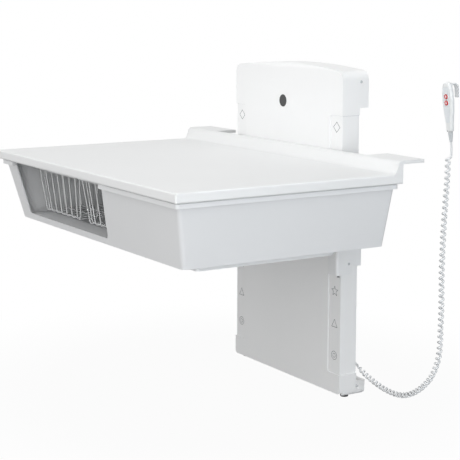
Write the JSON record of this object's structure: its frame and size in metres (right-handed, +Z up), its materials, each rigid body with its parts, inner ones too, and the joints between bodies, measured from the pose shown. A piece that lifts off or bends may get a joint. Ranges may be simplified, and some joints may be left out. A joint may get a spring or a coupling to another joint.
{
  "type": "baby changing station",
  "caption": "Wall-mounted baby changing table: wide top over a tub with wire baskets, raised and lowered on an electric lift column by a hand control on a curly cord.",
  "frame": {"origin": "on the wall, in the middle of the lower wall rail's back face", "axes": "+X to the right along the wall as seen from the front, +Y into the wall, +Z up"},
  "size_m": [1.251, 0.8, 0.972],
  "materials": {
    "white_moulding": "satin white moulded plastic",
    "handset_shell": "satin white plastic",
    "grey_moulding": "satin grey moulded plastic",
    "grey_white_moulding": "satin grey-white moulded plastic",
    "white_painted_aluminium": "white powder coat",
    "white_painted_steel": "white powder coat",
    "zinc_plated_steel": "bright zinc plate",
    "coated_wire": "white plastic-coated wire",
    "cast_aluminium": "as cast",
    "aluminium_sheet": "white powder coat on sheet",
    "bronze": "machined",
    "black_rubber": "matt",
    "badge_plastic": "dark gloss",
    "black_plastic": "matt",
    "grey_rubber": "matt",
    "cord_jacket": "satin light grey jacket",
    "label_film": "grey-blue printed film",
    "circuit_board": "green solder mask",
    "red_plastic": "red"
  },
  "bodies": {
    "frame": {"upper_wall_rail": "zinc_plated_steel", "lower_wall_rail": "zinc_plated_steel", "left_guide_column": "white_painted_aluminium", "right_guide_column": "white_painted_aluminium", "front_cover": "white_moulding", "cover_badge": "badge_plastic", "cover_screw_upper_left": "zinc_plated_steel", "cover_screw_upper_right": "zinc_plated_steel", "cover_screw_lower_left": "zinc_plated_steel", "cover_screw_lower_right": "zinc_plated_steel", "left_foot": "black_rubber", "right_foot": "black_rubber", "drive_motor": "black_plastic", "worm_gearbox": "cast_aluminium", "left_bevel_gearbox": "cast_aluminium", "right_bevel_gearbox": "cast_aluminium", "left_foot_bearing": "zinc_plated_steel", "right_foot_bearing": "zinc_plated_steel", "control_box": "white_painted_steel", "cord_gland": "black_plastic", "curly_cord": "cord_jacket"},
    "table": {"left_carriage_slide": "white_moulding", "right_carriage_slide": "white_moulding", "left_spindle_nut": "bronze", "right_spindle_nut": "bronze", "left_carriage_bracket": "white_painted_steel", "right_carriage_bracket": "white_painted_steel", "left_bracket_screw": "zinc_plated_steel", "right_bracket_screw": "zinc_plated_steel", "left_levelling_screw": "black_plastic", "right_levelling_screw": "black_plastic", "table_crossbeam": "zinc_plated_steel", "table_arm_1": "zinc_plated_steel", "table_arm_2": "zinc_plated_steel", "table_arm_3": "zinc_plated_steel", "table_arm_4": "zinc_plated_steel", "table_top": "white_moulding", "tub": "grey_white_moulding", "left_basket_runner": "zinc_plated_steel", "middle_basket_runner": "zinc_plated_steel", "right_basket_runner": "zinc_plated_steel", "safety_sensor": "black_plastic", "plate_hanger_1": "zinc_plated_steel", "plate_hanger_2": "zinc_plated_steel", "plate_hanger_3": "zinc_plated_steel", "plate_hanger_4": "zinc_plated_steel"},
    "left_spindle": {"left_spindle": "zinc_plated_steel"},
    "right_spindle": {"right_spindle": "zinc_plated_steel"},
    "cross_shaft": {"cross_shaft": "zinc_plated_steel"},
    "safety_plate": {"safety_plate": "aluminium_sheet"},
    "left_basket": {"left_basket": "coated_wire"},
    "right_basket": {"right_basket": "coated_wire"},
    "handset": {"handset_front_shell": "handset_shell", "handset_rear_shell": "grey_moulding", "handset_label": "label_film", "handset_board": "circuit_board", "strain_relief": "grey_rubber"},
    "up_button": {"up_button": "red_plastic"},
    "down_button": {"down_button": "red_plastic"}
  },
  "joints": [
    {"name": "table_lift", "type": "slide", "parent": "frame", "child": "table", "axis": [0, 0, 1], "range_m": [-0.34, 0.3]},
    {"name": "left_spindle_turn", "type": "hinge", "parent": "frame", "child": "left_spindle", "pos_m": [-0.25075, -0.06025, 0.434], "axis": [0, 0, 1], "range_deg": [-10900, 12400]},
    {"name": "right_spindle_turn", "type": "hinge", "parent": "frame", "child": "right_spindle", "pos_m": [0.25075, -0.06025, 0.434], "axis": [0, 0, 1], "range_deg": [-12400, 10900]},
    {"name": "cross_shaft_turn", "type": "hinge", "parent": "frame", "child": "cross_shaft", "pos_m": [0, -0.06025, 0.882], "axis": [1, 0, 0], "range_deg": [-12400, 10900]},
    {"name": "plate_lift", "type": "slide", "parent": "table", "child": "safety_plate", "axis": [0, 0, 1], "range_m": [0, 0.005]},
    {"name": "left_basket_slide", "type": "slide", "parent": "table", "child": "left_basket", "axis": [0, -1, 0], "range_m": [0, 0.28]},
    {"name": "right_basket_slide", "type": "slide", "parent": "table", "child": "right_basket", "axis": [0, -1, 0], "range_m": [0, 0.28]},
    {"name": "handset_lift", "type": "slide", "parent": "frame", "child": "handset", "axis": [0, 0, 1], "range_m": [0, 0.06], "deforming": ["curly_cord"]},
    {"name": "up_button_press", "type": "slide", "parent": "handset", "child": "up_button", "axis": [0, 0.9936, 0.1132], "range_m": [0, 0.001], "stiffness_N_per_m": 1500},
    {"name": "down_button_press", "type": "slide", "parent": "handset", "child": "down_button", "axis": [0, 0.9936, 0.1132], "range_m": [0, 0.001], "stiffness_N_per_m": 1500}
  ],
  "couplings": [
    {"joint": "left_spindle_turn", "follows": "table_lift", "rad_per_m": -628.32},
    {"joint": "right_spindle_turn", "follows": "table_lift", "rad_per_m": 628.32},
    {"joint": "cross_shaft_turn", "follows": "table_lift", "rad_per_m": 628.32}
  ]
}
